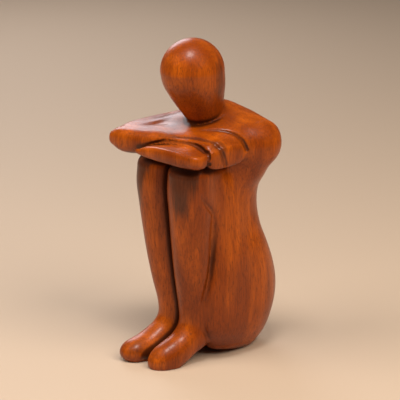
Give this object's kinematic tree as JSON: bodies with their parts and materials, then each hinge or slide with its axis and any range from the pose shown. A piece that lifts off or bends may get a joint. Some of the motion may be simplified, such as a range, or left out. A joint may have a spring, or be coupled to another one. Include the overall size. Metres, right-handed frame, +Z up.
{
  "type": "carved wooden figurine",
  "caption": "Solid carved wood figurine of a seated, faceless figure with drawn-up knees and folded arms, flat under the seat and feet.",
  "frame": {"origin": "on the table, under the middle of the figure's bounding box", "axes": "+Z up from the seat to the head, -Y the way the figure faces, +X towards its own left arm"},
  "size_m": [0.0848, 0.1064, 0.2],
  "materials": {
    "wood": "oiled and polished, satin"
  },
  "bodies": {
    "root": {"carved_figure": "wood"}
  },
  "joints": []
}
